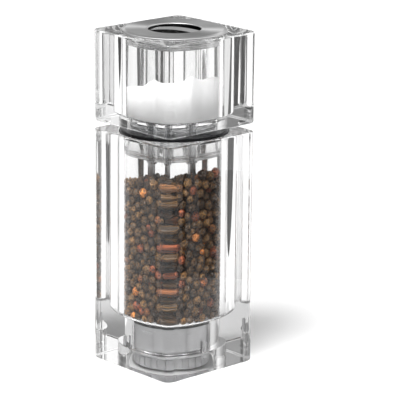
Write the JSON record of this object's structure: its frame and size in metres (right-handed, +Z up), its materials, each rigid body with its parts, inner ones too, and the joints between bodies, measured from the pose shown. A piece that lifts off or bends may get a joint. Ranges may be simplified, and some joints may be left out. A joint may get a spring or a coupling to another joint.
{
  "type": "salt and pepper mill",
  "caption": "Tall square clear mill: a pepper grinder block under a turning salt shaker block with a dished steel cap.",
  "frame": {"origin": "centre of the underside of the foot", "axes": "+Z up along the shaft, +X and +Y through two side faces of the mill block"},
  "size_m": [0.055, 0.055, 0.16],
  "materials": {
    "clear_acrylic": "polished clear",
    "clear_moulding": "clear moulded",
    "hub_moulding": "smooth moulded",
    "collar_black": "polished",
    "seal_rubber": "clear silicone",
    "shaft_steel": "drawn",
    "spring_steel": "drawn",
    "polished_steel": "polished, fine turned",
    "brushed_steel": "brushed",
    "burr_steel": "hardened",
    "black_plastic": "moulded",
    "grey_plastic": "moulded",
    "salt": "fine grains",
    "peppercorns": "wrinkled"
  },
  "bodies": {
    "mill": {"mill_block": "clear_acrylic", "mechanism_housing": "brushed_steel", "grinding_ring": "burr_steel", "bearing_bridge": "black_plastic", "housing_screws": "shaft_steel", "rotor_spring": "spring_steel", "peppercorn_fill": "peppercorns"},
    "adjuster": {"adjuster_dial": "grey_plastic"},
    "carrier": {"lift_screw": "shaft_steel"},
    "rotor": {"grinding_rotor": "burr_steel"},
    "plug": {"plug_cup": "clear_moulding", "plug_seal": "seal_rubber", "plug_collar": "collar_black"},
    "head": {"head_block": "clear_acrylic", "head_hub": "hub_moulding", "drive_shaft": "shaft_steel", "shaft_washer": "shaft_steel", "shaft_nut": "shaft_steel", "shaft_clip": "shaft_steel", "column_tube": "clear_moulding", "salt_fill": "salt"},
    "stopper": {"shaker_insert": "clear_moulding", "insert_seal": "seal_rubber"},
    "cap": {"cap_disc": "polished_steel", "finger_bar": "polished_steel", "cap_screw": "polished_steel", "cap_push_nut": "shaft_steel"}
  },
  "joints": [
    {"name": "adjuster_turn", "type": "hinge", "parent": "mill", "child": "adjuster", "pos_m": [0, 0, 0.0035], "axis": [0, 0, 1], "range_deg": [0, 300]},
    {"name": "rotor_lift", "type": "slide", "parent": "mill", "child": "carrier", "axis": [0, 0, 1], "range_m": [0, 0.001], "deforming": ["rotor_spring"]},
    {"name": "rotor_turn", "type": "hinge", "parent": "carrier", "child": "rotor", "pos_m": [0, 0, 0.012], "axis": [0, 0, 1], "continuous": true},
    {"name": "plug_lift", "type": "slide", "parent": "mill", "child": "plug", "axis": [0, 0, 1], "range_m": [0, 0.105]},
    {"name": "head_turn", "type": "hinge", "parent": "plug", "child": "head", "pos_m": [0, 0, 0.1135], "axis": [0, 0, 1], "continuous": true},
    {"name": "insert_lift", "type": "slide", "parent": "head", "child": "stopper", "axis": [0, 0, 1], "range_m": [0, 0.02]},
    {"name": "cap_turn", "type": "hinge", "parent": "stopper", "child": "cap", "pos_m": [0, 0, 0.158], "axis": [0, 0, 1], "range_deg": [0, 90]}
  ],
  "couplings": [
    {"joint": "adjuster_turn", "follows": "rotor_lift", "rad_per_m": 5235.9},
    {"joint": "rotor_turn", "follows": "head_turn", "ratio": 1}
  ]
}
